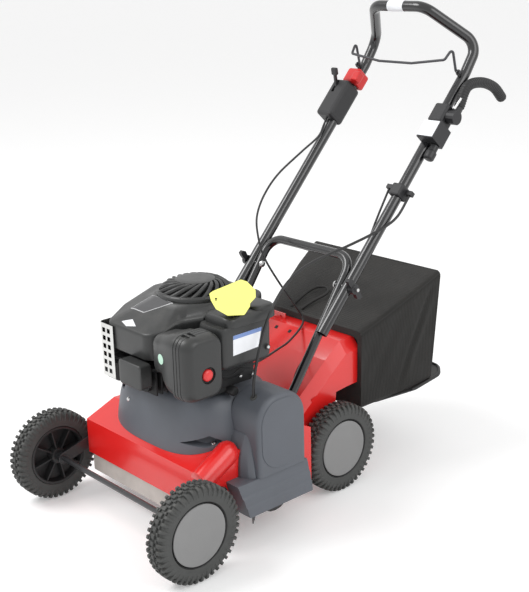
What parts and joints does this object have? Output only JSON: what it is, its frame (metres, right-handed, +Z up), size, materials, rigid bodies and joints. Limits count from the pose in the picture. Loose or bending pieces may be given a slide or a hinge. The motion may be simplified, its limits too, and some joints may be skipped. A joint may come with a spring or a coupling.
{
  "type": "lawn scarifier",
  "caption": "Petrol lawn scarifier: bladed rotor under a wheeled steel deck, engine on a moulded plinth, folding handle with controls, rear chute and collector bag.",
  "frame": {"origin": "on the ground, in the middle of the machine's width and length", "axes": "+Z up; the front wheels towards -Y and the handle's grip towards +Y; +X to the machine's left, the side of the belt cover"},
  "size_m": [0.5428, 1.1071, 1.0355],
  "materials": {
    "red_paint": "gloss powder-coated sheet steel",
    "dark_red_plastic": "smooth moulded red plastic",
    "grey_plastic": "satin moulded plastic",
    "engine_black": "satin moulded plastic",
    "tube_black": "gloss black enamel on steel",
    "cable_black": "smooth cable sheath and belt rubber",
    "tyre_rubber": "matt dark grey rubber",
    "hub_grey": "matt grey moulding",
    "bright_steel": "bright zinc-plated and hardened steel",
    "cast_alloy": "as-cast, dark",
    "flap_grey": "translucent flexible strip",
    "bag_cloth": "coated woven cloth, matt",
    "tag_yellow": "thin card tag"
  },
  "bodies": {
    "machine": {"deck": "red_paint", "chute": "red_paint", "rear_axle": "tube_black", "front_flap": "flap_grey", "engine_plinth": "grey_plastic", "belt_cover": "grey_plastic", "side_skirt": "grey_plastic", "engine_block": "cast_alloy", "blower_housing": "engine_black", "starter_grille": "engine_black", "air_cleaner_body": "engine_black", "air_cleaner_cover": "engine_black", "carburettor": "engine_black", "fuel_tank": "engine_black", "muffler": "cast_alloy", "muffler_guard": "bright_steel", "plug_guard": "engine_black", "lower_handle": "tube_black", "fold_bolt_left": "bright_steel", "fold_bolt_right": "bright_steel", "rotor_bearing_left": "cast_alloy", "rotor_bearing_right": "cast_alloy", "drive_belt": "cable_black", "throttle_cable": "cable_black", "clutch_cable": "cable_black", "depth_cable": "cable_black"},
    "front_axle_frame": {"front_axle": "tube_black"},
    "front_left_wheel": {"front_left_tyre": "tyre_rubber", "front_left_hub": "hub_grey"},
    "front_right_wheel": {"front_right_tyre": "tyre_rubber", "front_right_hub": "hub_grey"},
    "rear_left_wheel": {"rear_left_tyre": "tyre_rubber", "rear_left_hub": "hub_grey"},
    "rear_right_wheel": {"rear_right_tyre": "tyre_rubber", "rear_right_hub": "hub_grey"},
    "rotor_shaft": {"rotor": "bright_steel", "rotor_pulley": "cast_alloy"},
    "crank": {"crankshaft": "bright_steel", "flywheel": "cast_alloy"},
    "front_idler": {"idler_front": "cast_alloy"},
    "rear_idler": {"idler_rear": "cast_alloy"},
    "handle": {"upper_handle": "tube_black", "throttle_box": "engine_black", "lever_bracket": "engine_black", "depth_scale_box": "engine_black", "cable_clip": "engine_black"},
    "bail_wire": {"bail": "tube_black"},
    "lock": {"safety_lock": "dark_red_plastic"},
    "throttle": {"throttle_lever": "engine_black"},
    "depth_arm": {"depth_lever": "tube_black"},
    "adjuster": {"depth_knob": "engine_black"},
    "left_wing_knob": {"wing_knob_left": "engine_black"},
    "right_wing_knob": {"wing_knob_right": "engine_black"},
    "tank_cap": {"fuel_cap": "engine_black", "cap_tag": "tag_yellow"},
    "primer": {"primer_bulb": "dark_red_plastic"},
    "starter": {"starter_grip": "engine_black"},
    "bag": {"collector_bag": "bag_cloth"}
  },
  "joints": [
    {"name": "front_axle_swing", "type": "hinge", "parent": "machine", "child": "front_axle_frame", "pos_m": [0, -0.3487, 0.13], "axis": [1, 0, 0], "range_deg": [-8, 8]},
    {"name": "front_left_wheel_spin", "type": "hinge", "parent": "front_axle_frame", "child": "front_left_wheel", "pos_m": [0.2485, -0.4537, 0.1], "axis": [1, 0, 0], "continuous": true},
    {"name": "front_right_wheel_spin", "type": "hinge", "parent": "front_axle_frame", "child": "front_right_wheel", "pos_m": [-0.2485, -0.4537, 0.1], "axis": [1, 0, 0], "continuous": true},
    {"name": "rear_left_wheel_spin", "type": "hinge", "parent": "machine", "child": "rear_left_wheel", "pos_m": [0.1721, 0.0163, 0.1], "axis": [1, 0, 0], "continuous": true},
    {"name": "rear_right_wheel_spin", "type": "hinge", "parent": "machine", "child": "rear_right_wheel", "pos_m": [-0.1721, 0.0163, 0.1], "axis": [1, 0, 0], "continuous": true},
    {"name": "rotor_spin", "type": "hinge", "parent": "machine", "child": "rotor_shaft", "pos_m": [0, -0.2297, 0.1], "axis": [1, 0, 0], "continuous": true},
    {"name": "crank_spin", "type": "hinge", "parent": "machine", "child": "crank", "pos_m": [0, -0.2297, 0.3], "axis": [0, 0, 1], "continuous": true},
    {"name": "front_idler_spin", "type": "hinge", "parent": "machine", "child": "front_idler", "pos_m": [0.2074, -0.2697, 0.226], "axis": [0, 1, 0], "continuous": true},
    {"name": "rear_idler_spin", "type": "hinge", "parent": "machine", "child": "rear_idler", "pos_m": [0.2074, -0.1897, 0.226], "axis": [0, 1, 0], "continuous": true},
    {"name": "handle_fold", "type": "hinge", "parent": "machine", "child": "handle", "pos_m": [0, 0.0653, 0.453], "axis": [1, 0, 0], "range_deg": [0, 110], "deforming": ["throttle_cable", "clutch_cable", "depth_cable"]},
    {"name": "bail_pull", "type": "hinge", "parent": "handle", "child": "bail_wire", "pos_m": [0, 0.42637, 0.88001], "axis": [1, 0, 0], "range_deg": [-30, 0], "stiffness_Nm_per_rad": 2, "springref_deg": 20.05},
    {"name": "lock_twist", "type": "hinge", "parent": "handle", "child": "lock", "pos_m": [-0.155, 0.4215, 0.84309], "axis": [0, 0.6743, 0.7385], "range_deg": [0, 20], "stiffness_Nm_per_rad": 0.3, "springref_deg": -22.92},
    {"name": "throttle_turn", "type": "hinge", "parent": "handle", "child": "throttle", "pos_m": [-0.172, 0.36989, 0.82216], "axis": [1, 0, 0], "range_deg": [-8, 38]},
    {"name": "depth_lever_turn", "type": "hinge", "parent": "handle", "child": "depth_arm", "pos_m": [0.1905, 0.36861, 0.78813], "axis": [1, 0, 0], "range_deg": [-35, 35]},
    {"name": "adjuster_turn", "type": "hinge", "parent": "handle", "child": "adjuster", "pos_m": [0.1815, 0.31884, 0.73066], "axis": [0, 0.6743, 0.7385], "continuous": true},
    {"name": "left_knob_turn", "type": "hinge", "parent": "machine", "child": "left_wing_knob", "pos_m": [0.1678, 0.0653, 0.453], "axis": [1, 0, 0], "continuous": true},
    {"name": "right_knob_turn", "type": "hinge", "parent": "machine", "child": "right_wing_knob", "pos_m": [-0.1678, 0.0653, 0.453], "axis": [1, 0, 0], "continuous": true},
    {"name": "cap_turn", "type": "hinge", "parent": "machine", "child": "tank_cap", "pos_m": [0.148, -0.2477, 0.483], "axis": [0, 0, 1], "range_deg": [0, 90]},
    {"name": "primer_press", "type": "slide", "parent": "machine", "child": "primer", "axis": [-1, 0, 0], "range_m": [0, 0.005], "stiffness_N_per_m": 400, "springref_m": -0.002},
    {"name": "starter_pull", "type": "slide", "parent": "machine", "child": "starter", "axis": [0, 1, 0], "range_m": [0, 0.22], "stiffness_N_per_m": 40, "springref_m": -0.1},
    {"name": "bag_slide", "type": "slide", "parent": "machine", "child": "bag", "axis": [0, 1, 0], "range_m": [0, 0.2]}
  ],
  "couplings": [
    {"joint": "crank_spin", "follows": "rotor_spin", "ratio": 1.3333},
    {"joint": "front_idler_spin", "follows": "rotor_spin", "ratio": 2.2222},
    {"joint": "rear_idler_spin", "follows": "rotor_spin", "ratio": -2.2222},
    {"joint": "depth_lever_turn", "follows": "front_axle_swing", "ratio": 4.375}
  ]
}
